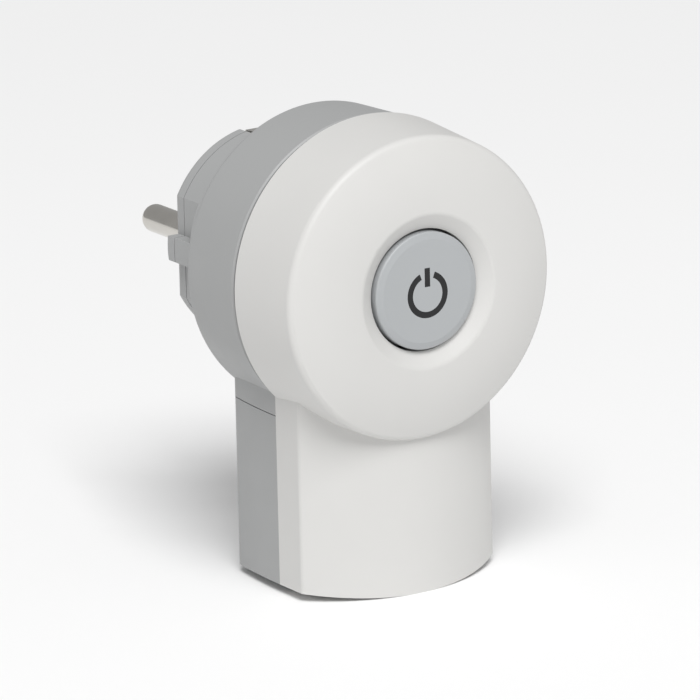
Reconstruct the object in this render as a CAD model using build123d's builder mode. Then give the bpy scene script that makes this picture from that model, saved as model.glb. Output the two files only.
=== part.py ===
from build123d import *
import os
from math import cos, radians, sin, tan

# Right-angle mains plug, two round pins and earth, with a push on/off switch on its front.
# Millimetres. Origin: centre of the engaging face. +Y: out of that face, along the pins.
# +Z: up, away from the cable end. The push button faces -Y.

# --- Standard interface -------------------------------------------------------------------
pin_x = 9.5
pin_r = 2.4
pin_length = 19.0
earth_z = 10.0
earth_bore_r = 2.45
nose_r = 18.4
nose_length = 17.4

# --- Outside shape ------------------------------------------------------------------------
wall = 2.2
shoulder_y = -nose_length
split_y = -33.6
groove = 1.0
barrel_front_y = split_y + groove
barrel_front_r = 25.85
barrel_rear_r = 25.25
shoulder_fillet = 1.2
head_rear_r = 26.25
head_middle_r = 25.75
head_middle_y = -41.0
head_front_r = 25.2
head_edge_y = -48.4
head_edge_fillet = 1.3
crest_r = 12.8
crest_fillet = 1.2
crest_y = -51.0
recess_rim_y = -49.4
face_back_y = -48.2
head_cavity_r = 24.3
neck_half_width = 18.85
neck_corner_y = -40.2
neck_front_y = -47.5
neck_rear_half_width = 17.5
neck_rear_y = shoulder_y - 0.6
neck_rear_fillet = 2.6
neck_bottom_z = -51.6
neck_arch_rise = 1.5
neck_root_z = -15.0
seam_z = -21.4
seam_gap = 0.15
window_z = -23.2
window_height = 9.4
window_width_x = 29.2
hook_x = 8.5
lip_outer_r = 24.15
lip_inner_r = 22.9
lip_length = 2.5
barrel_cavity_front_r = 23.9
barrel_cavity_rear_r = 23.0

# --- Nose details -------------------------------------------------------------------------
plate_thickness = 2.9
plate_fillet = 1.3
plate_seam = 0.2
pocket_x = 16.3
pocket_length = 7.7
rib_half_height = 2.1
clip_recess_half_width = 3.8
clip_recess_z = 17.1
clip_recess_end_y = -15.3
web_y = -14.4
nose_cavity_r = 16.2
nose_cavity_half_width = 14.2
nose_cavity_half_height = 15.5

# --- Button -------------------------------------------------------------------------------
button_r = 9.75
button_face_y = -50.6
button_travel = 3.0
button_hole_r = 10.2
button_wall = 1.65
button_rim = 1.2
button_rim_drop = 0.35
button_back_y = -43.5
coil_turns = 5
coil_r = 5.5
coil_wire_r = 0.35
flange_r = 11.0
flange_thickness = 1.4
collar_r = 12.2
collar_end_y = button_back_y - flange_thickness - 0.3
symbol_depth = 0.3
symbol_ring_r = 3.9
symbol_stroke = 1.05
symbol_gap_angle = 22.0
symbol_centre_z = -0.55
symbol_bar_low_z = 0.75
symbol_bar_high_z = 3.9

# --- Switch -------------------------------------------------------------------------------
switch_half_width = 13.0
switch_half_height = 10.0
switch_wall = 1.4
switch_back_y = -26.5
switch_floor = 1.5
switch_floor_y = switch_back_y - switch_floor
switch_front_y = -38.5
switch_lid_y = switch_front_y - switch_floor
ear_screw_x = 18.2
rod_r = 3.5
rod_guide_r = 3.57
crossbar_front_y = -37.4
crossbar_back_y = -32.0
crossbar_half_width = 11.2
crossbar_half_height = 2.2
pole_x = 8.25
bridge_width = 3.0
bridge_half_length = 7.0
bridge_thickness = 0.8
bridge_back_y = -32.8
window_front_y = -35.6
window_width = 3.3
contact_r = 1.3
contact_height = 0.6
contact_z = 5.5

# --- Latch --------------------------------------------------------------------------------
latch_pivot_y = -29.6
latch_length = 3.4
latch_swing = 18.0
latch_tip_r = 0.4
latch_groove_width = 1.1
latch_groove_depth = 1.0

# --- Sheet metal and terminals ------------------------------------------------------------
strip = 0.8
strip_y = -24.5
rivet_z = -10.0
strip_bend = 0.9
pole_strip_inner_x = 5.5
pole_strip_outer_x = 11.0
pole_strip_width = pole_strip_outer_x - pole_strip_inner_x
pad_outer_z = 8.2
pad_inner_z = 3.5
tab_y = -12.0
pin_collar_r = 2.6
socket_end_y = -21.5
terminal_x = 9.0
terminal_width = 6.5
terminal_depth = 7.0
terminal_top_z = -25.5
terminal_height = 9.0
terminal_screw_z = -29.0
terminal_mid_y = strip_y - strip - terminal_depth * 0.6
wire_hole_r = 1.6
base_back_y = strip_y - strip - terminal_depth
base_front_y = -34.8
base_low_z = -41.0

# --- Cable entry --------------------------------------------------------------------------
cable_y = -27.2
cable_hole_r = 4.3
cable_collar_r = 6.0
cable_collar_top_z = -45.4
clamp_z = -38.2
clamp_screw_x = 8.0
clamp_back_y = -21.9

# --- Screws -------------------------------------------------------------------------------
case_screw_xz = 15.0
case_screw_seat_y = -25.0
neck_screw_x = 12.4
neck_screw_z = -44.4
base_screw_x = 13.2
base_screw_z = -37.6
screw_r = 1.2
screw_hole_r = 1.25
screw_clearance_r = 1.45
head_r = 2.2
head_height = 1.6
counterbore_r = 2.5
post_r = 3.4
ear_post_r = 2.6
neck_post_r = 2.8
base_post_r = 2.4
cover_post_r = 3.2
neck_post_end_y = -42.3
neck_screw_places = [(-neck_screw_x, neck_screw_z), (neck_screw_x, neck_screw_z)]
base_screw_places = [(-base_screw_x, base_screw_z), (base_screw_x, base_screw_z)]

os.makedirs("parts", exist_ok=True)


def across(y):
    """Plane across the plug at depth y: local x is +X, local y is +Z, extrusions go to -Y."""
    return Plane.XZ.offset(-y)


def save(piece, name):
    """Label a finished piece and write it as its own file."""
    piece.part.label = name
    export_step(piece.part, f"parts/{name}.step")


def clip_recesses(mode):
    """The two shallow recesses for the earth clips, at the top and the bottom of the nose."""
    with Locations((0, clip_recess_z + 2), (0, -clip_recess_z - 2)):
        Rectangle(2 * clip_recess_half_width, 4, mode=mode)


def nose_outline():
    """Nose cross-section near the face: a circle with the clip recesses and four side pockets."""
    Circle(nose_r)
    clip_recesses(Mode.SUBTRACT)
    with GridLocations(2 * (pocket_x + 2), 2 * (rib_half_height + 4), 2, 2):
        Rectangle(4, 8, mode=Mode.SUBTRACT)


def neck_front_plan(inset):
    """Outline of the neck in front of the split plane: straight sides and a bowed front."""
    half = neck_half_width - inset
    front = neck_front_y + inset
    corner_y = neck_corner_y + inset / 2
    with BuildLine() as outline:
        Polyline((-half, corner_y), (-half, split_y), (half, split_y), (half, corner_y))
        ThreePointArc((half, corner_y), (0, front), (-half, corner_y))
    return outline.edges()


def neck_rear_plan(inset, front_y):
    """Outline of the neck behind the split plane: sides that curve in towards the rear."""
    half = neck_half_width - inset
    rear_half = neck_rear_half_width - inset
    rear = neck_rear_y - inset
    middle = (half * 0.62 + rear_half * 0.38 + 0.15, (split_y + rear) / 2)
    with BuildLine() as outline:
        Line((-half, front_y), (half, front_y))
        ThreePointArc((half, front_y), middle, (rear_half, rear))
        Line((rear_half, rear), (-rear_half, rear))
        ThreePointArc((-rear_half, rear), (-middle[0], middle[1]), (-half, front_y))
    return outline.edges()


def below_the_neck():
    """Region under the neck's shallow arched underside, which is lowest at the middle."""
    reach = 30.0
    low = neck_bottom_z - 4
    with BuildSketch(across(0)) as region:
        with BuildLine():
            ThreePointArc((-neck_half_width, neck_bottom_z + neck_arch_rise), (0, neck_bottom_z),
                          (neck_half_width, neck_bottom_z + neck_arch_rise))
            Polyline((neck_half_width, neck_bottom_z + neck_arch_rise),
                     (reach, neck_bottom_z + neck_arch_rise), (reach, low), (-reach, low),
                     (-reach, neck_bottom_z + neck_arch_rise),
                     (-neck_half_width, neck_bottom_z + neck_arch_rise))
        make_face()
    return region.sketch


def power_symbol_outline():
    """Open ring with a bar in its gap, in the button's face."""
    gap_half_width = 5 * tan(radians(symbol_gap_angle))
    with BuildSketch(across(button_face_y + symbol_depth)) as symbol:
        with Locations((0, symbol_centre_z)):
            Circle(symbol_ring_r)
            Circle(symbol_ring_r - symbol_stroke, mode=Mode.SUBTRACT)
            Polygon((0, 0), (gap_half_width, 5), (-gap_half_width, 5), align=None,
                    mode=Mode.SUBTRACT)
        with Locations((0, (symbol_bar_low_z + symbol_bar_high_z) / 2)):
            Rectangle(symbol_stroke, symbol_bar_high_z - symbol_bar_low_z)
    return symbol.sketch


def case_screw_places():
    """Centres of the four screws that hold the two halves of the case, in local x and z."""
    return GridLocations(2 * case_screw_xz, 2 * case_screw_xz, 2, 2)


# ==========================================================================================
# Case
# ==========================================================================================

with BuildPart() as front_cover:
    # Domed head, with a dished recess that leads down to the button hole.
    with BuildSketch(Plane.XY) as head_section:
        with BuildLine():
            Polyline((0, split_y), (head_rear_r - 0.3, split_y),
                     (head_rear_r, split_y - 0.3))
            ThreePointArc((head_rear_r, split_y - 0.3), (head_middle_r, head_middle_y),
                          (head_front_r, head_edge_y))
            TangentArc((crest_r, crest_y), (head_front_r, head_edge_y), tangent=(1, 0))
            Polyline((crest_r, crest_y), (button_hole_r, recess_rim_y), (0, recess_rim_y),
                     (0, split_y))
        make_face()
        fillet(head_section.vertices().sort_by_distance((crest_r, crest_y))[0], crest_fillet)
        fillet(head_section.vertices().sort_by_distance((head_front_r, head_edge_y))[0],
               head_edge_fillet)
    revolve(axis=Axis.Y)
    with BuildSketch(Plane.XY.offset(neck_bottom_z - 1)) as neck_section:
        make_face(neck_front_plan(0))
        fillet(neck_section.vertices().group_by(Axis.Y)[0], 0.9)
    extrude(amount=neck_root_z - neck_bottom_z + 1)
    extrude(below_the_neck(), amount=60, mode=Mode.SUBTRACT)
    # Hollow head and neck, open to each other and to the rear.
    with BuildSketch(Plane.XY):
        Polygon((0, split_y), (head_cavity_r, split_y),
                (head_cavity_r, split_y - groove - lip_length), (22.7, -45.2),
                (21.2, -46.8), (button_hole_r + 3, face_back_y), (0, face_back_y), align=None)
    revolve(axis=Axis.Y, mode=Mode.SUBTRACT)
    with BuildSketch(Plane.XY.offset(neck_bottom_z + wall)):
        make_face(neck_front_plan(wall))
    extrude(amount=neck_root_z - neck_bottom_z - wall, mode=Mode.SUBTRACT)
    # Collar that guides the button.
    with BuildSketch(across(collar_end_y)):
        Circle(collar_r)
    extrude(amount=collar_end_y - face_back_y + 0.4)
    with BuildSketch(across(collar_end_y)):
        Circle(button_hole_r)
    extrude(amount=12, mode=Mode.SUBTRACT)
    # Blind bosses for the case screws.
    with BuildSketch(across(split_y)):
        with case_screw_places():
            Circle(post_r)
    extrude(amount=split_y - face_back_y + 0.3)
    with BuildSketch(across(split_y)):
        with case_screw_places():
            Circle(screw_hole_r)
    extrude(amount=9.5, mode=Mode.SUBTRACT)
    # Posts in the neck: two for the neck cover, two for the terminal base.
    with BuildSketch(across(split_y)):
        with Locations(*neck_screw_places):
            Circle(neck_post_r)
    extrude(amount=split_y - neck_post_end_y)
    with BuildSketch(across(base_front_y)):
        with Locations(*base_screw_places):
            Circle(base_post_r)
    extrude(amount=base_front_y - neck_post_end_y)
    with BuildSketch(across(split_y)):
        with Locations(*neck_screw_places, *base_screw_places):
            Circle(screw_hole_r)
    extrude(amount=split_y - neck_post_end_y - 0.6, mode=Mode.SUBTRACT)
save(front_cover, "front_cover")

with BuildPart() as rear_housing:
    # Tapered barrel with a rounded rear shoulder.
    with BuildSketch(Plane.XY) as barrel_section:
        Polygon((0, barrel_front_y), (barrel_front_r - 0.25, barrel_front_y),
                (barrel_front_r, barrel_front_y + 0.25), (barrel_rear_r, shoulder_y),
                (0, shoulder_y), align=None)
        fillet(barrel_section.vertices().sort_by_distance((barrel_rear_r, shoulder_y))[0],
               shoulder_fillet)
    revolve(axis=Axis.Y)
    # Nose: round at its root, pocketed on both sides near the face.
    with BuildSketch(across(-pocket_length)):
        Circle(nose_r)
    extrude(amount=nose_length - pocket_length + 1)
    with BuildSketch(across(-plate_thickness - plate_seam)):
        nose_outline()
    extrude(amount=pocket_length - plate_thickness - plate_seam)
    with BuildSketch(across(0)):
        clip_recesses(Mode.ADD)
    extrude(amount=-clip_recess_end_y, mode=Mode.SUBTRACT)
    # Corners that carry the barrel down into the neck.
    with BuildSketch(Plane.XY.offset(seam_z)) as stub_section:
        make_face(neck_rear_plan(0, split_y + 0.05))
        fillet(stub_section.vertices().group_by(Axis.Y)[-1], neck_rear_fillet)
    extrude(amount=neck_root_z - seam_z)
    # Hollow barrel, nose and neck root.
    with BuildSketch(Plane.XY):
        Polygon((0, split_y - 1), (barrel_cavity_front_r, split_y - 1),
                (barrel_cavity_front_r, barrel_front_y),
                (barrel_cavity_rear_r, shoulder_y - wall), (0, shoulder_y - wall), align=None)
    revolve(axis=Axis.Y, mode=Mode.SUBTRACT)
    with BuildSketch(across(0)):
        Circle(nose_cavity_r)
        Rectangle(2 * nose_cavity_half_width, 2 * nose_cavity_half_height, mode=Mode.INTERSECT)
    extrude(amount=nose_length + wall + 1, mode=Mode.SUBTRACT)
    with BuildSketch(Plane.XY.offset(seam_z)):
        make_face(neck_rear_plan(wall, split_y))
    extrude(amount=neck_root_z - seam_z, mode=Mode.SUBTRACT)
    # Locating lip inside the front cover, left out where the neck opens.
    with BuildSketch(across(barrel_front_y)):
        Circle(lip_outer_r)
        Circle(lip_inner_r, mode=Mode.SUBTRACT)
        with Locations((0, -24)):
            Rectangle(60, 22, mode=Mode.SUBTRACT)
        with case_screw_places():
            Circle(post_r + 0.3, mode=Mode.SUBTRACT)
    extrude(amount=lip_length)
    with BuildSketch(Plane.XY):
        Polygon((lip_inner_r, barrel_front_y), (lip_outer_r, barrel_front_y),
                (lip_outer_r, barrel_front_y + 1.2), (lip_inner_r, barrel_front_y + 1.2),
                align=None)
    revolve(axis=Axis.Y)
    # Screw posts, with deep counterbores that open on the shoulder.
    with BuildSketch(across(shoulder_y - wall + 0.2)):
        with case_screw_places():
            Circle(post_r)
    extrude(amount=shoulder_y - wall + 0.2 - split_y)
    with BuildSketch(across(0)):
        with case_screw_places():
            Circle(counterbore_r)
    extrude(amount=-case_screw_seat_y, mode=Mode.SUBTRACT)
    with BuildSketch(across(0)):
        with case_screw_places():
            Circle(screw_clearance_r)
    extrude(amount=40, mode=Mode.SUBTRACT)
    # Two posts that carry the switch.
    with BuildSketch(across(shoulder_y - wall + 0.2)):
        with Locations((-ear_screw_x, 0), (ear_screw_x, 0)):
            Circle(ear_post_r)
    extrude(amount=shoulder_y - wall + 0.2 - switch_floor_y)
    with BuildSketch(across(switch_floor_y + 6)):
        with Locations((-ear_screw_x, 0), (ear_screw_x, 0)):
            Circle(screw_hole_r)
    extrude(amount=7, mode=Mode.SUBTRACT)
    # Window for the strips, between the barrel and the neck.
    with BuildSketch(across(shoulder_y - wall)):
        with Locations((0, window_z)):
            Rectangle(window_width_x, window_height)
    extrude(amount=20, mode=Mode.SUBTRACT)
    # Slots where the earth clips pass out through the nose wall.
    with BuildSketch(across(web_y + 0.1)):
        with GridLocations(0, 2 * clip_recess_z, 1, 2):
            Rectangle(6.8, 4.4)
    extrude(amount=web_y + 0.1 - clip_recess_end_y, mode=Mode.SUBTRACT)
save(rear_housing, "rear_housing")

with BuildPart() as neck_cover:
    with BuildSketch(Plane.XY.offset(neck_bottom_z - 1)) as cover_section:
        make_face(neck_rear_plan(0, split_y + 0.05))
        fillet(cover_section.vertices().group_by(Axis.Y)[-1], neck_rear_fillet)
    extrude(amount=seam_z - seam_gap - neck_bottom_z + 1)
    extrude(below_the_neck(), amount=60, mode=Mode.SUBTRACT)
    # Seat under the barrel.
    with BuildSketch(Plane.XY):
        Polygon((0, split_y - 1), (barrel_front_r + 0.25, split_y - 1),
                (barrel_front_r + 0.25, barrel_front_y), (barrel_rear_r + 0.25, shoulder_y),
                (barrel_rear_r + 0.25, shoulder_y + 1), (0, shoulder_y + 1), align=None)
    revolve(axis=Axis.Y, mode=Mode.SUBTRACT)
    with BuildSketch(Plane.XY.offset(neck_bottom_z + wall)):
        make_face(neck_rear_plan(wall, split_y))
    extrude(amount=40, mode=Mode.SUBTRACT)
    # Collar of the cable inlet.
    with BuildSketch(Plane.XY.offset(neck_bottom_z + 0.5)):
        with Locations((0, cable_y)):
            Circle(cable_collar_r)
    extrude(amount=cable_collar_top_z - neck_bottom_z - 0.5)
    with BuildSketch(Plane.XY.offset(neck_bottom_z - 1)):
        with Locations((0, cable_y)):
            Circle(cable_hole_r)
    extrude(amount=8, mode=Mode.SUBTRACT)
    # Screw posts with counterbores in the rear wall.
    with BuildSketch(across(shoulder_y - 1)):
        with Locations(*neck_screw_places):
            Circle(cover_post_r)
    extrude(amount=shoulder_y - 1 - split_y - 0.05)
    with BuildSketch(across(0)):
        with Locations(*neck_screw_places):
            Circle(counterbore_r)
    extrude(amount=-case_screw_seat_y, mode=Mode.SUBTRACT)
    with BuildSketch(across(0)):
        with Locations(*neck_screw_places):
            Circle(screw_clearance_r)
    extrude(amount=40, mode=Mode.SUBTRACT)
    # Two hooks that reach up through the barrel's window.
    with BuildSketch(across(shoulder_y - wall - 0.15)):
        with Locations((-hook_x, -27.0), (hook_x, -27.0)):
            Rectangle(3, 8)
    extrude(amount=1.3)
    with BuildSketch(across(shoulder_y - wall + 0.3)):
        with Locations((-hook_x, -29.5), (hook_x, -29.5)):
            Rectangle(3, 3)
    extrude(amount=1)
save(neck_cover, "neck_cover")

with BuildPart() as contact_carrier:
    # Face plate with the nose's outline.
    with BuildSketch(across(0)):
        nose_outline()
    extrude(amount=plate_thickness)
    fillet(contact_carrier.faces().sort_by(Axis.Y)[-1].outer_wire().edges(), plate_fillet)
    # Plug-in skirt and the sleeves round the pins and the earth socket.
    with BuildSketch(across(-plate_thickness)):
        Circle(nose_cavity_r - 0.1)
        Rectangle(2 * nose_cavity_half_width - 0.2, 2 * nose_cavity_half_height - 0.2,
                  mode=Mode.INTERSECT)
        Circle(nose_cavity_r - 1.4, mode=Mode.SUBTRACT)
    extrude(amount=3.5)
    with BuildSketch(across(-plate_thickness)):
        with Locations((-pin_x, 0), (pin_x, 0)):
            Circle(4.5)
        with Locations((0, earth_z)):
            Circle(4.6)
    extrude(amount=7.5)
    with BuildSketch(across(0)):
        with Locations((-pin_x, 0), (pin_x, 0)):
            Circle(pin_collar_r + 0.05)
        with Locations((0, earth_z)):
            Circle(3.0)
    extrude(amount=plate_thickness, mode=Mode.SUBTRACT)
    with BuildSketch(across(-plate_thickness)):
        with Locations((-pin_x, 0), (pin_x, 0)):
            Circle(3.05)
        with Locations((0, earth_z)):
            Circle(3.35)
    extrude(amount=9, mode=Mode.SUBTRACT)
save(contact_carrier, "contact_carrier")

# ==========================================================================================
# Pins, earth parts and strips
# ==========================================================================================

for name, side in (("live_pin", -1), ("neutral_pin", 1)):
    with BuildPart() as pin:
        with BuildSketch(across(pin_length)):
            with Locations((side * pin_x, 0)):
                Circle(pin_r)
        extrude(amount=pin_length + 0.5)
        fillet(pin.faces().sort_by(Axis.Y)[-1].edges(), 2.0)
        # Collar flush with the face, flange behind the plate, riveted tail.
        with BuildSketch(across(0)):
            with Locations((side * pin_x, 0)):
                Circle(pin_collar_r)
        extrude(amount=plate_thickness)
        with BuildSketch(across(-plate_thickness)):
            with Locations((side * pin_x, 0)):
                Circle(3.0)
        extrude(amount=-tab_y - plate_thickness)
        with BuildSketch(across(tab_y)):
            with Locations((side * pin_x, 0)):
                Circle(1.5)
        extrude(amount=strip)
        with BuildSketch(across(tab_y - strip)):
            with Locations((side * pin_x, 0)):
                Circle(2.4)
        extrude(amount=0.9)
    save(pin, name)

with BuildPart() as earth_socket:
    with BuildSketch(across(-plate_thickness)):
        with Locations((0, earth_z)):
            Circle(3.3)
    extrude(amount=-plate_thickness - socket_end_y)
    with BuildSketch(across(-plate_thickness)):
        with Locations((0, earth_z)):
            Circle(earth_bore_r)
    extrude(amount=-plate_thickness - socket_end_y - 0.8, mode=Mode.SUBTRACT)
    # Spring slits at the mouth.
    with BuildSketch(across(-plate_thickness)):
        with Locations((0, earth_z)):
            Rectangle(0.6, 8)
    extrude(amount=7.5, mode=Mode.SUBTRACT)
save(earth_socket, "earth_socket")

with BuildPart() as earth_strap:
    # One bent strip: a web across the nose and a spring clip above and below it.
    clip_in = clip_recess_z + 0.05
    with BuildSketch(Plane.YZ.offset(-3.2)):
        with BuildLine() as strap_line:
            FilletPolyline((-1.9, clip_in), (-7.5, clip_in + 0.35), (web_y, clip_in),
                           (web_y, -clip_in), (-7.5, -clip_in - 0.35), (-1.9, -clip_in),
                           radius=0.25)
            offset(amount=strip, side=Side.RIGHT, closed=True)
        make_face()
    extrude(amount=6.4)
    # Eyelet that is crimped round the earth socket, and the rivet hole of the link.
    with BuildSketch(across(web_y)):
        with Locations((0, earth_z)):
            Circle(4.9)
    extrude(amount=strip)
    with BuildSketch(across(-10)):
        with Locations((0, earth_z)):
            Circle(3.35)
        with Locations((0, rivet_z)):
            Circle(1.05)
    extrude(amount=8, mode=Mode.SUBTRACT)
save(earth_strap, "earth_strap")

with BuildPart() as earth_link:
    # From the strap's web, forward over the nose and down into the neck.
    with BuildSketch(Plane.YZ.offset(-2.5)):
        with BuildLine():
            FilletPolyline((web_y - 2 * strip, -6.5), (web_y - 2 * strip, -13.0),
                           (strip_y - strip, -13.0), (strip_y - strip, terminal_screw_z - 4),
                           radius=strip_bend)
            offset(amount=strip, side=Side.LEFT, closed=True)
        make_face()
    extrude(amount=5.0)
    with BuildSketch(across(web_y)):
        with Locations((0, rivet_z)):
            Circle(1.05)
    extrude(amount=3, mode=Mode.SUBTRACT)
    with BuildSketch(across(strip_y + 1)):
        with Locations((0, terminal_screw_z)):
            Circle(screw_clearance_r)
    extrude(amount=3, mode=Mode.SUBTRACT)
save(earth_link, "earth_link")

with BuildPart() as earth_rivet:
    with BuildSketch(across(web_y)):
        with Locations((0, rivet_z)):
            Circle(1.0)
    extrude(amount=2 * strip)
    for start, length in ((web_y + 0.6, 0.6), (web_y - 2 * strip, 0.6)):
        with BuildSketch(across(start)):
            with Locations((0, rivet_z)):
                Circle(1.8)
        extrude(amount=length)
save(earth_rivet, "earth_rivet")

for name, side in (("live_pin_contact", -1), ("neutral_pin_contact", 1)):
    edge_x = side * pole_strip_inner_x if side > 0 else side * pole_strip_outer_x
    with BuildPart() as contact:
        # Pad in the switch, leg back to the nose, tab over the pin's tail.
        with BuildSketch(Plane.YZ.offset(edge_x)):
            with BuildLine():
                FilletPolyline((switch_floor_y, pad_inner_z), (switch_floor_y, pad_outer_z - strip),
                               (tab_y - strip, pad_outer_z - strip), (tab_y - strip, -3.2),
                               radius=0.3)
                offset(amount=strip, side=Side.LEFT, closed=True)
            make_face()
        extrude(amount=pole_strip_width)
        with BuildSketch(across(tab_y)):
            with Locations((side * (pole_strip_outer_x + 0.6), 1.2)):
                Rectangle(2.4, 8.8)
        extrude(amount=strip)
        with BuildSketch(across(tab_y + 1)):
            with Locations((side * pin_x, 0)):
                Circle(1.55)
        extrude(amount=3, mode=Mode.SUBTRACT)
        # Rivet head that meets the moving bridge.
        with BuildSketch(across(switch_floor_y - strip)):
            with Locations((side * pole_x, contact_z)):
                Circle(contact_r)
        extrude(amount=contact_height)
    save(contact, name)

for name, side in (("live_supply_contact", -1), ("neutral_supply_contact", 1)):
    edge_x = side * pole_strip_inner_x if side > 0 else side * pole_strip_outer_x
    with BuildPart() as contact:
        # Pad in the switch, then down behind it to the cable terminal.
        with BuildSketch(Plane.YZ.offset(edge_x)):
            with BuildLine():
                FilletPolyline((switch_floor_y, -pad_inner_z),
                               (switch_floor_y, -pad_outer_z + strip),
                               (strip_y, -pad_outer_z + strip),
                               (strip_y, terminal_screw_z - 4), radius=0.3)
                offset(amount=strip, side=Side.RIGHT, closed=True)
            make_face()
        extrude(amount=pole_strip_width)
        with BuildSketch(across(strip_y + 1)):
            with Locations((side * terminal_x, terminal_screw_z)):
                Circle(screw_clearance_r)
        extrude(amount=3, mode=Mode.SUBTRACT)
        with BuildSketch(across(switch_floor_y - strip)):
            with Locations((side * pole_x, -contact_z)):
                Circle(contact_r)
        extrude(amount=contact_height)
    save(contact, name)

# ==========================================================================================
# Cable terminals
# ==========================================================================================

for name, x in (("live_terminal", -terminal_x), ("earth_terminal", 0),
                ("neutral_terminal", terminal_x)):
    with BuildPart() as terminal:
        with BuildSketch(across(strip_y - strip)):
            with Locations((x, terminal_top_z - terminal_height / 2)):
                RectangleRounded(terminal_width, terminal_height, 0.6)
        extrude(amount=terminal_depth)
        with BuildSketch(Plane.XY.offset(terminal_top_z - terminal_height)):
            with Locations((x, terminal_mid_y)):
                Circle(wire_hole_r)
        extrude(amount=7.5, mode=Mode.SUBTRACT)
        with BuildSketch(across(strip_y - strip)):
            with Locations((x, terminal_screw_z)):
                Circle(screw_hole_r)
        extrude(amount=5.0, mode=Mode.SUBTRACT)
    save(terminal, name)

with BuildPart() as terminal_base:
    # Back plate behind the terminals, with barriers between them.
    with BuildSketch(across(base_back_y)):
        with Locations((0, (base_low_z - 24.0) / 2)):
            RectangleRounded(30.6, -base_low_z - 24.0, 1.5)
    extrude(amount=base_back_y - base_front_y)
    with BuildSketch(across(strip_y + 0.5)):
        for x in (-13.6, -4.5, 4.5, 13.6):
            with Locations((x, -29.8)):
                Rectangle(1.2, 11.0)
    extrude(amount=strip_y + 0.5 - base_front_y)
    # Saddle and posts of the cable clamp.
    with BuildSketch(Plane.XY.offset(clamp_z - 2.5)):
        with Locations((0, (base_back_y + cable_y - 0.3) / 2)):
            Rectangle(12, cable_y - 0.3 - base_back_y)
        with Locations((0, cable_y)):
            Circle(4.1, mode=Mode.SUBTRACT)
    extrude(amount=5)
    with BuildSketch(across(cable_y - 0.3)):
        with Locations((-clamp_screw_x, clamp_z), (clamp_screw_x, clamp_z)):
            Circle(2.4)
    extrude(amount=cable_y - 0.3 - base_back_y)
    with BuildSketch(across(cable_y)):
        with Locations((-clamp_screw_x, clamp_z), (clamp_screw_x, clamp_z)):
            Circle(screw_hole_r)
    extrude(amount=7, mode=Mode.SUBTRACT)
    with BuildSketch(across(0)):
        with Locations(*base_screw_places):
            Circle(screw_clearance_r)
    extrude(amount=50, mode=Mode.SUBTRACT)
save(terminal_base, "terminal_base")

with BuildPart() as cable_clamp:
    with BuildSketch(Plane.XY.offset(clamp_z - 2.5)):
        with Locations((0, (cable_y + 0.3 + clamp_back_y) / 2)):
            Rectangle(21, clamp_back_y - cable_y - 0.3)
        with Locations((0, cable_y)):
            Circle(4.1, mode=Mode.SUBTRACT)
    extrude(amount=5)
    with BuildSketch(across(0)):
        with Locations((-clamp_screw_x, clamp_z), (clamp_screw_x, clamp_z)):
            Circle(screw_clearance_r)
    extrude(amount=50, mode=Mode.SUBTRACT)
save(cable_clamp, "cable_clamp")

# ==========================================================================================
# Switch
# ==========================================================================================

with BuildPart() as switch_base:
    with BuildSketch(across(switch_back_y)):
        RectangleRounded(2 * switch_half_width, 2 * switch_half_height, 1.2)
    extrude(amount=switch_back_y - switch_front_y)
    with BuildSketch(across(switch_floor_y)):
        Rectangle(2 * (switch_half_width - switch_wall), 2 * (switch_half_height - switch_wall))
    extrude(amount=switch_floor_y - switch_front_y, mode=Mode.SUBTRACT)
    # Ears that sit on the housing's posts.
    with BuildSketch(across(switch_floor_y)):
        with Locations((-16.5, 0), (16.5, 0)):
            RectangleRounded(8.6, 6.4, 1.2)
    extrude(amount=1.8)
    with BuildSketch(across(0)):
        with Locations((-ear_screw_x, 0), (ear_screw_x, 0)):
            Circle(screw_clearance_r)
        # Slots for the four fixed contacts.
        with GridLocations(2 * pole_x, 2 * (pad_outer_z - strip / 2) - 0.35, 2, 2):
            Rectangle(pole_strip_width + 0.1, strip + 0.45)
    extrude(amount=30, mode=Mode.SUBTRACT)
    # Bracket and pivot pin of the latch arm.
    with BuildSketch(across(switch_floor_y)):
        with Locations((0, 4.6)):
            Rectangle(3.6, 2.0)
    extrude(amount=2.9)
    with BuildSketch(Plane.XY.offset(2.5)):
        with Locations((0, latch_pivot_y)):
            Circle(0.6)
    extrude(amount=1.3)
save(switch_base, "switch_base")

with BuildPart() as switch_lid:
    with BuildSketch(across(switch_front_y)):
        RectangleRounded(2 * switch_half_width, 2 * switch_half_height, 1.2)
        Circle(rod_guide_r, mode=Mode.SUBTRACT)
    extrude(amount=switch_front_y - switch_lid_y)
    with BuildSketch(across(switch_lid_y)):
        Circle(7.2)
        Circle(6.2, mode=Mode.SUBTRACT)
    extrude(amount=1.0)
    # Snap hooks over the sides of the base.
    with BuildSketch(across(switch_front_y + 4)):
        with Locations((0, switch_half_height + 0.6), (0, -switch_half_height - 0.6)):
            Rectangle(7, 1.0)
    extrude(amount=switch_front_y + 4 - switch_lid_y)
    with BuildSketch(across(switch_lid_y + 1)):
        with Locations((0, switch_half_height), (0, -switch_half_height)):
            Rectangle(7, 2.2)
    extrude(amount=1.0)
save(switch_lid, "switch_lid")

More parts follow.
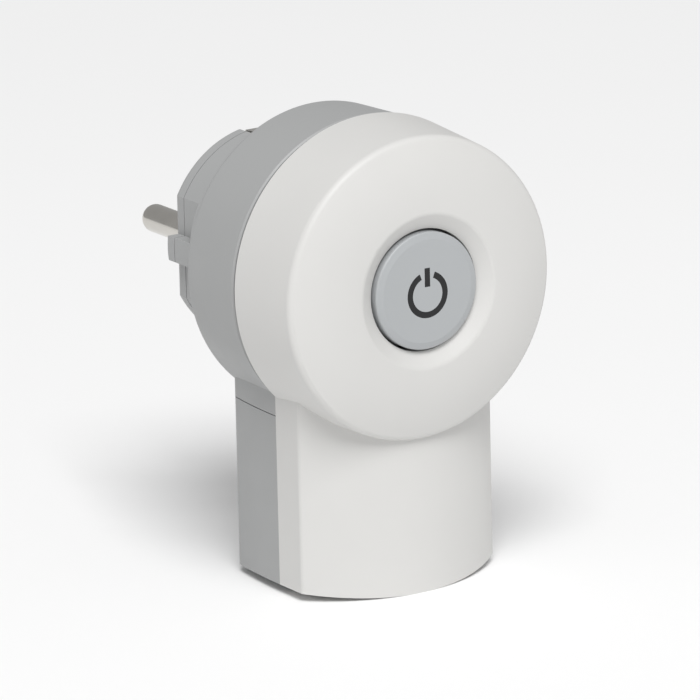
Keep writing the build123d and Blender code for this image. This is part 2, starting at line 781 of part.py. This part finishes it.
with BuildPart() as switch_plunger:
    # Round rod up to the button, crossbar that carries the two bridges.
    with BuildSketch(across(crossbar_front_y)):
        Circle(rod_r)
    extrude(amount=crossbar_front_y - button_face_y - button_wall - 0.2)
    with BuildSketch(across(crossbar_back_y)):
        RectangleRounded(2 * crossbar_half_width, 2 * crossbar_half_height, 0.6)
    extrude(amount=crossbar_back_y - crossbar_front_y)
    with BuildSketch(across(bridge_back_y)):
        with Locations((-pole_x, 0), (pole_x, 0)):
            Rectangle(window_width, 6)
    extrude(amount=bridge_back_y - window_front_y, mode=Mode.SUBTRACT)
    # Heart-shaped latch track: down one limb, across, and back up the other.
    track_start = (0, latch_pivot_y - latch_length)
    track_end_x = latch_length * sin(radians(latch_swing))
    track_end_y = latch_pivot_y - latch_length * cos(radians(latch_swing)) - button_travel
    with BuildSketch(Plane.XY.offset(crossbar_half_height - latch_groove_depth)):
        for side in (-1, 1):
            limb_middle = (side * track_end_x / 2, (track_start[1] + track_end_y) / 2)
            SlotCenterPoint(limb_middle, (side * track_end_x, track_end_y), latch_groove_width)
        SlotCenterPoint((0, track_end_y), (track_end_x, track_end_y), latch_groove_width)
    extrude(amount=4, mode=Mode.SUBTRACT)
save(switch_plunger, "switch_plunger")

with BuildPart() as latch_arm:
    with BuildSketch(Plane.XY.offset(2.6)):
        with Locations((0, latch_pivot_y - latch_length / 2)):
            Rectangle(1.2, latch_length)
        with Locations((0, latch_pivot_y)):
            Circle(1.2)
        with Locations((0, latch_pivot_y - latch_length)):
            Circle(0.6)
        with Locations((0, latch_pivot_y)):
            Circle(0.65, mode=Mode.SUBTRACT)
    extrude(amount=0.8)
    with BuildSketch(Plane.XY.offset(crossbar_half_height - latch_groove_depth + 0.2)):
        with Locations((0, latch_pivot_y - latch_length)):
            Circle(latch_tip_r)
    extrude(amount=1.3)
save(latch_arm, "latch_arm")

for name, x in (("live_bridge", -pole_x), ("neutral_bridge", pole_x)):
    with BuildPart() as bridge:
        with BuildSketch(across(bridge_back_y)):
            with Locations((x, 0)):
                RectangleRounded(bridge_width, 2 * bridge_half_length, 0.8)
        extrude(amount=bridge_thickness)
        with BuildSketch(across(bridge_back_y + contact_height)):
            with Locations((x, contact_z), (x, -contact_z)):
                Circle(contact_r)
        extrude(amount=contact_height)
    save(bridge, name)

with BuildPart() as contact_springs:
    spring_back_y = bridge_back_y - bridge_thickness - 0.15
    spring_length = spring_back_y - window_front_y - 0.3
    for x in (-pole_x, pole_x):
        with BuildLine():
            coil = Helix(pitch=spring_length / 3, height=spring_length, radius=1.1,
                         center=(x, spring_back_y, 0), direction=(0, -1, 0))
        with BuildSketch(Plane(origin=coil @ 0, z_dir=coil % 0)):
            Circle(0.13)
        sweep(path=coil)
save(contact_springs, "contact_springs")

# ==========================================================================================
# Button
# ==========================================================================================

with BuildPart() as push_button:
    with BuildSketch(Plane.XY) as button_section:
        inner_y = button_face_y + button_wall
        Polygon((0, button_face_y), (button_r - button_rim, button_face_y),
                (button_r, button_face_y + button_rim_drop),
                (button_r, button_back_y - flange_thickness),
                (flange_r, button_back_y - flange_thickness), (flange_r, button_back_y),
                (button_r - 1.65, button_back_y), (button_r - 1.65, inner_y), (4.7, inner_y),
                (4.7, inner_y + 3.2), (rod_r + 0.05, inner_y + 3.2), (rod_r + 0.05, inner_y),
                (0, inner_y), align=None)
        rim_inner = (button_r - button_rim, button_face_y)
        rim_outer = (button_r, button_face_y + button_rim_drop)
        fillet(button_section.vertices().sort_by_distance(rim_inner)[0], 0.4)
        fillet(button_section.vertices().sort_by_distance(rim_outer)[0], 0.3)
    revolve(axis=Axis.Y)
    extrude(power_symbol_outline(), amount=5, mode=Mode.SUBTRACT)
save(push_button, "push_button")

with BuildPart() as power_symbol:
    extrude(power_symbol_outline(), amount=symbol_depth)
save(power_symbol, "power_symbol")

with BuildPart() as button_spring:
    coil_back_y = switch_lid_y - 0.45
    coil_length = coil_back_y - button_face_y - button_wall - 0.45
    coil_pitch = coil_length / coil_turns
    for turn in range(coil_turns):
        with BuildLine():
            coil = Helix(pitch=coil_pitch, height=coil_pitch, radius=coil_r,
                         center=(0, coil_back_y - turn * coil_pitch, 0), direction=(0, -1, 0))
        with BuildSketch(Plane(origin=coil @ 0, z_dir=coil % 0)):
            Circle(coil_wire_r)
        sweep(path=coil, is_frenet=True)
save(button_spring, "button_spring")

# ==========================================================================================
# Screws
# ==========================================================================================


def screws(name, places, seat_y, length):
    """A group of pan-head screws whose heads face the rear, under the seat at depth seat_y."""
    with BuildPart() as group:
        with BuildSketch(across(seat_y)):
            with Locations(*places):
                Circle(screw_r)
        extrude(amount=length)
        with BuildSketch(across(seat_y + head_height)):
            with Locations(*places):
                Circle(head_r)
        extrude(amount=head_height)
        fillet(group.faces().filter_by(Plane.XZ).group_by(Axis.Y)[-1].edges(), 0.5)
        # Cross recess.
        with BuildSketch(across(seat_y + head_height)):
            with Locations(*places):
                Rectangle(2.4, 0.6)
                Rectangle(0.6, 2.4)
        extrude(amount=0.8, mode=Mode.SUBTRACT)
    save(group, name)


corners = [(x, z) for x in (-case_screw_xz, case_screw_xz) for z in (-case_screw_xz, case_screw_xz)]
screws("case_screws", corners, case_screw_seat_y, 18.0)
screws("neck_cover_screws", neck_screw_places, case_screw_seat_y, 16.0)
screws("terminal_base_screws", base_screw_places, base_back_y, 9.0)
screws("cable_clamp_screws", [(-clamp_screw_x, clamp_z), (clamp_screw_x, clamp_z)],
       clamp_back_y, 10.0)
screws("terminal_screws", [(-terminal_x, terminal_screw_z), (0, terminal_screw_z),
                           (terminal_x, terminal_screw_z)], strip_y, 4.6)

with BuildPart() as switch_screws:
    ears = [(-ear_screw_x, 0), (ear_screw_x, 0)]
    ear_front_y = switch_floor_y - 1.8
    with BuildSketch(across(switch_floor_y + 5.5)):
        with Locations(*ears):
            Circle(screw_r)
    extrude(amount=switch_floor_y + 5.5 - ear_front_y)
    with BuildSketch(across(ear_front_y)):
        with Locations(*ears):
            Circle(head_r)
    extrude(amount=head_height)
    fillet(switch_screws.faces().filter_by(Plane.XZ).group_by(Axis.Y)[0].edges(), 0.5)
    with BuildSketch(across(ear_front_y - 0.8)):
        with Locations(*ears):
            Rectangle(2.4, 0.6)
            Rectangle(0.6, 2.4)
    extrude(amount=2, mode=Mode.SUBTRACT)
save(switch_screws, "switch_screws")
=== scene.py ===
"""Looks of a right-angle mains plug with a push switch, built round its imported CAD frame."""

import math

import bpy
from mathutils import Matrix, Vector


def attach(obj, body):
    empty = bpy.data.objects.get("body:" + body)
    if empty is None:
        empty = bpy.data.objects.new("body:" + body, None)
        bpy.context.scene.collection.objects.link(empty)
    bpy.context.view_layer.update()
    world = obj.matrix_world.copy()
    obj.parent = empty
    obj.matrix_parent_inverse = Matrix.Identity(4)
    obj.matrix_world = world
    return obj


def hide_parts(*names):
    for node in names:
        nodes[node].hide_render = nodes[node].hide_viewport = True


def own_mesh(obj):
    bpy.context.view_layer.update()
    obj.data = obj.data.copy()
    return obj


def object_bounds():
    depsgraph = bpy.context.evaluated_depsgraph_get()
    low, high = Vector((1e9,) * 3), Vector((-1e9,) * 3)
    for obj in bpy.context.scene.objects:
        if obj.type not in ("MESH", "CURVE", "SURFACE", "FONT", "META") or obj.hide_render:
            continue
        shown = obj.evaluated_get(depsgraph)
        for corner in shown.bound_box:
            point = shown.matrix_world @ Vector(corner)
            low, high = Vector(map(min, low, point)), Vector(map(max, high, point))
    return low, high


MM = 0.001
EDGE_WEAR_RADIUS = 0.35 * MM
METAL_WEAR_RADIUS = 0.15 * MM
FLOOR_HALF_WIDTH = 6.0
WORLD_STRENGTH = 0.40

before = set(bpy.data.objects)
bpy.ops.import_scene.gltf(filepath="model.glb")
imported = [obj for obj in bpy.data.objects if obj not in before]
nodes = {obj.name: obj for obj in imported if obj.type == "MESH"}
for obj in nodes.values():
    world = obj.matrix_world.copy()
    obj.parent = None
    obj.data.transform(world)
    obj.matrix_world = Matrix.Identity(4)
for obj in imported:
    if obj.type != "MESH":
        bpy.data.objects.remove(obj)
cad_low, cad_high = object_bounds()


# --- Node materials -----------------------------------------------------------------------

def new_material(name):
    """An empty node material with its shader and output; returns the material and the shader."""
    material = bpy.data.materials.new(name)
    material.use_nodes = True
    tree = material.node_tree
    tree.nodes.clear()
    output = tree.nodes.new("ShaderNodeOutputMaterial")
    shader = tree.nodes.new("ShaderNodeBsdfPrincipled")
    tree.links.new(shader.outputs["BSDF"], output.inputs["Surface"])
    return material, shader


def noise(tree, scale, detail=4.0, stretch=(1, 1, 1)):
    """Noise over the piece's own coordinates; scale is in cycles per metre."""
    coords = tree.nodes.new("ShaderNodeTexCoord")
    mapping = tree.nodes.new("ShaderNodeMapping")
    mapping.inputs["Scale"].default_value = stretch
    texture = tree.nodes.new("ShaderNodeTexNoise")
    texture.inputs["Scale"].default_value = scale
    texture.inputs["Detail"].default_value = detail
    tree.links.new(coords.outputs["Object"], mapping.inputs["Vector"])
    tree.links.new(mapping.outputs["Vector"], texture.inputs["Vector"])
    return texture.outputs["Fac"]


def ranged(tree, value, low, high, from_low=0.3, from_high=0.7):
    """Value, remapped from its usual span to low..high."""
    node = tree.nodes.new("ShaderNodeMapRange")
    node.inputs["From Min"].default_value = from_low
    node.inputs["From Max"].default_value = from_high
    node.inputs["To Min"].default_value = low
    node.inputs["To Max"].default_value = high
    tree.links.new(value, node.inputs["Value"])
    return node.outputs["Result"]


def mixed(tree, factor, first, second):
    """Colour between two colours; each is an RGB triple or a socket."""
    node = tree.nodes.new("ShaderNodeMix")
    node.data_type = "RGBA"
    tree.links.new(factor, node.inputs["Factor"])
    for value, socket in ((first, node.inputs[6]), (second, node.inputs[7])):
        if isinstance(value, tuple):
            socket.default_value = (*value, 1)
        else:
            tree.links.new(value, socket)
    return node.outputs[2]


def edge_mask(tree, radius):
    """Near 1 on edges sharper than the radius, 0 on broad faces."""
    geometry = tree.nodes.new("ShaderNodeNewGeometry")
    bevel = tree.nodes.new("ShaderNodeBevel")
    bevel.samples = 4
    bevel.inputs["Radius"].default_value = radius
    dot = tree.nodes.new("ShaderNodeVectorMath")
    dot.operation = "DOT_PRODUCT"
    tree.links.new(geometry.outputs["Normal"], dot.inputs[0])
    tree.links.new(bevel.outputs["Normal"], dot.inputs[1])
    return ranged(tree, dot.outputs["Value"], 1.0, 0.0, 0.80, 0.995)


def bumped(tree, height, distance, strength, below=None):
    """Normal of a relief whose full height is distance, laid over the normal below it."""
    node = tree.nodes.new("ShaderNodeBump")
    node.inputs["Distance"].default_value = distance
    node.inputs["Strength"].default_value = strength
    tree.links.new(height, node.inputs["Height"])
    if below is not None:
        tree.links.new(below, node.inputs["Normal"])
    return node.outputs["Normal"]


def moulded_plastic(name, colour, roughness, tint=0.03, worn=1.06):
    """Moulded thermoplastic: slight flow variation, fine tool texture, rubbed edges."""
    material, shader = new_material(name)
    tree = material.node_tree
    darker = tuple(c * (1 - tint) for c in colour)
    rubbed = tuple(min(1.0, c * worn) for c in colour)
    flow = ranged(tree, noise(tree, 45, 3), 0.0, 1.0)
    body = mixed(tree, flow, darker, colour)
    tree.links.new(mixed(tree, edge_mask(tree, EDGE_WEAR_RADIUS), body, rubbed),
                   shader.inputs["Base Color"])
    gloss = ranged(tree, noise(tree, 160, 5), roughness - 0.04, roughness + 0.05)
    tree.links.new(gloss, shader.inputs["Roughness"])
    sink = bumped(tree, noise(tree, 60, 1), 0.03 * MM, 0.25)
    tree.links.new(bumped(tree, noise(tree, 3200, 2), 0.006 * MM, 0.35, sink),
                   shader.inputs["Normal"])
    shader.inputs["IOR"].default_value = 1.5
    shader.inputs["Specular IOR Level"].default_value = 0.45
    return material


def turned_metal(name, colour, roughness, ring_scale=9000):
    """Machined and plated metal: turning rings along the pin, faint smudges, bright edges."""
    material, shader = new_material(name)
    tree = material.node_tree
    smudge = ranged(tree, noise(tree, 220, 4), 0.0, 1.0)
    darker = tuple(c * 0.9 for c in colour)
    polished = tuple(min(1.0, c * 1.12) for c in colour)
    body = mixed(tree, smudge, darker, colour)
    tree.links.new(mixed(tree, edge_mask(tree, METAL_WEAR_RADIUS), body, polished),
                   shader.inputs["Base Color"])
    gloss = ranged(tree, noise(tree, 500, 4), roughness - 0.05, roughness + 0.07)
    tree.links.new(gloss, shader.inputs["Roughness"])
    rings = noise(tree, ring_scale, 2, stretch=(0.02, 1, 0.02))
    tree.links.new(bumped(tree, rings, 0.004 * MM, 0.4), shader.inputs["Normal"])
    shader.inputs["Metallic"].default_value = 1.0
    return material


white = moulded_plastic("moulded_white", (0.65, 0.645, 0.63), 0.46)
grey = moulded_plastic("moulded_grey", (0.375, 0.38, 0.38), 0.46)
button_grey = moulded_plastic("moulded_button", (0.41, 0.425, 0.435), 0.40)
symbol_ink = moulded_plastic("pad_printed_symbol", (0.012, 0.012, 0.013), 0.6, worn=1.3)
black = moulded_plastic("moulded_black", (0.03, 0.03, 0.032), 0.42, worn=1.5)
natural = moulded_plastic("moulded_natural", (0.55, 0.51, 0.42), 0.40)
nickel = turned_metal("nickel_plate", (0.66, 0.64, 0.60), 0.16)
brass = turned_metal("stamped_brass", (0.70, 0.52, 0.26), 0.24)
steel = turned_metal("zinc_steel", (0.56, 0.56, 0.58), 0.28)

materials = {
    "white_plastic": white,
    "grey_plastic": grey,
    "button_plastic": button_grey,
    "symbol_print": symbol_ink,
    "black_plastic": black,
    "natural_plastic": natural,
    "nickel": nickel,
    "brass": brass,
    "steel": steel,
}
for node in nodes.values():
    for slot in node.material_slots:
        slot.material = materials[slot.material.name]


# --- Coil springs, the return coil on the housing and the contact coils on the button --------

def coil_points(centre_x, start_y, length, turns, radius, wire):
    """Rings of points round the wire of one coil along Y, and how many there are in a ring."""
    steps = int(turns * 60)
    around = 12
    rise = length / (2 * math.pi * turns)
    rings = []
    for step in range(steps + 1):
        angle = 2 * math.pi * turns * step / steps
        outward = Vector((math.cos(angle), 0, math.sin(angle)))
        along = Vector((-math.sin(angle) * radius, -rise, math.cos(angle) * radius)).normalized()
        side = along.cross(outward)
        middle = Vector((centre_x, start_y - rise * angle, 0)) + outward * radius
        for k in range(around):
            turn = 2 * math.pi * k / around
            rings.append(middle + (outward * math.cos(turn) + side * math.sin(turn)) * wire)
    return rings, around


def coil_spring(name, centres, start_y, length, turns, radius, wire):
    """One mesh of steel coils, one at each x in centres, with flat wire ends."""
    points, faces = [], []
    for centre_x in centres:
        rings, around = coil_points(centre_x, start_y, length, turns, radius, wire)
        first = len(points)
        points.extend(rings)
        last = len(points) - around
        for ring in range(first, last, around):
            for k in range(around):
                ahead = (k + 1) % around
                faces.append((ring + k, ring + ahead, ring + around + ahead, ring + around + k))
        faces.append(tuple(range(first + around - 1, first - 1, -1)))
        faces.append(tuple(range(last, last + around)))
    mesh = bpy.data.meshes.new(name)
    mesh.from_pydata(points, [], faces)
    mesh.update()
    mesh.shade_smooth()
    mesh.materials.append(steel)
    piece = bpy.data.objects.new(name, mesh)
    bpy.context.scene.collection.objects.link(piece)
    return piece


RETURN_LENGTH = 8.05 * MM
RETURN_TURNS = 5
RETURN_RADIUS = 5.5 * MM
RETURN_WIRE = 0.35 * MM
return_back_y = -40.45 * MM
return_coil = coil_spring("return_coil", [0], return_back_y, RETURN_LENGTH, RETURN_TURNS,
                          RETURN_RADIUS, RETURN_WIRE)
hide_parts("button_spring")
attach(return_coil, "housing")
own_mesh(return_coil)

CONTACT_LENGTH = 1.55 * MM
CONTACT_TURNS = 3
CONTACT_RADIUS = 1.1 * MM
CONTACT_WIRE = 0.13 * MM
POLE_X = 8.25 * MM
contact_back_y = -33.75 * MM
contact_coils = coil_spring("contact_coils", [-POLE_X, POLE_X], contact_back_y,
                            CONTACT_LENGTH, CONTACT_TURNS, CONTACT_RADIUS, CONTACT_WIRE)
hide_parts("contact_springs")
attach(contact_coils, "button")
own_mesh(contact_coils)


# --- Camera -------------------------------------------------------------------------------

AZIMUTH = math.radians(-33.6)
ELEVATION = math.radians(15.0)
ROLL = math.radians(1.15)
DISTANCE = 1.2
PIXELS_PER_METRE = 6200
FRAME_WIDTH = 700
SENSOR = 36.0
cap_centre = Vector((0, -50.3 * MM, 0))
aim_right = -12.355 * MM
aim_up = -9.516 * MM

back = Vector((math.sin(AZIMUTH) * math.cos(ELEVATION),
               -math.cos(AZIMUTH) * math.cos(ELEVATION), math.sin(ELEVATION)))
level_right = (-back).cross(Vector((0, 0, 1))).normalized()
level_up = level_right.cross(-back)
right = level_right * math.cos(ROLL) - level_up * math.sin(ROLL)
up = level_up * math.cos(ROLL) + level_right * math.sin(ROLL)
eye = cap_centre + back * DISTANCE
ahead = (cap_centre + right * aim_right + up * aim_up - eye).normalized()
across = ahead.cross(up).normalized()
upward = across.cross(ahead)
camera_data = bpy.data.cameras.new("camera")
camera_data.sensor_width = SENSOR
camera_data.lens = SENSOR * PIXELS_PER_METRE * DISTANCE / FRAME_WIDTH
camera_data.clip_end = 20
camera = bpy.data.objects.new("camera", camera_data)
axes = Matrix((across, upward, -ahead)).transposed()
camera.matrix_world = Matrix.Translation(eye) @ axes.to_4x4()
bpy.context.scene.collection.objects.link(camera)
bpy.context.scene.camera = camera


# --- Floor and light ----------------------------------------------------------------------

def softbox(name, azimuth, elevation, distance, size, watts):
    """A square soft light, aimed at the plug's middle."""
    data = bpy.data.lights.new(name, "AREA")
    data.shape = "SQUARE"
    data.size = size
    data.energy = watts
    light = bpy.data.objects.new(name, data)
    a, e = math.radians(azimuth), math.radians(elevation)
    way = Vector((math.sin(a) * math.cos(e), -math.cos(a) * math.cos(e), math.sin(e)))
    light.location = Vector((0, -25 * MM, -10 * MM)) + way * distance
    light.rotation_mode = "QUATERNION"
    light.rotation_quaternion = (-way).to_track_quat("-Z", "Y")
    bpy.context.scene.collection.objects.link(light)


floor_mesh = bpy.data.meshes.new("floor")
half = FLOOR_HALF_WIDTH
floor_z = cad_low.z
corners = [(-half, -half, floor_z), (half, -half, floor_z), (half, half, floor_z),
           (-half, half, floor_z)]
floor_mesh.from_pydata(corners, [], [(0, 1, 2, 3)])
floor = bpy.data.objects.new("floor", floor_mesh)
bpy.context.scene.collection.objects.link(floor)
floor_material, floor_shader = new_material("floor")
floor_tree = floor_material.node_tree
floor_tree.links.new(mixed(floor_tree, noise(floor_tree, 6, 2), (0.91, 0.91, 0.91),
                           (0.94, 0.94, 0.94)), floor_shader.inputs["Base Color"])
floor_shader.inputs["Roughness"].default_value = 0.9
floor_shader.inputs["Specular IOR Level"].default_value = 0.1
floor_mesh.materials.append(floor_material)

world = bpy.data.worlds.new("studio")
bpy.context.scene.world = world
world.use_nodes = True
sky = world.node_tree.nodes["Background"]
sky.inputs["Color"].default_value = (1, 1, 1, 1)
sky.inputs["Strength"].default_value = WORLD_STRENGTH
bpy.context.scene.view_settings.view_transform = "Standard"

softbox("key", -27, 54, 4.0, 2.0, 138.0)
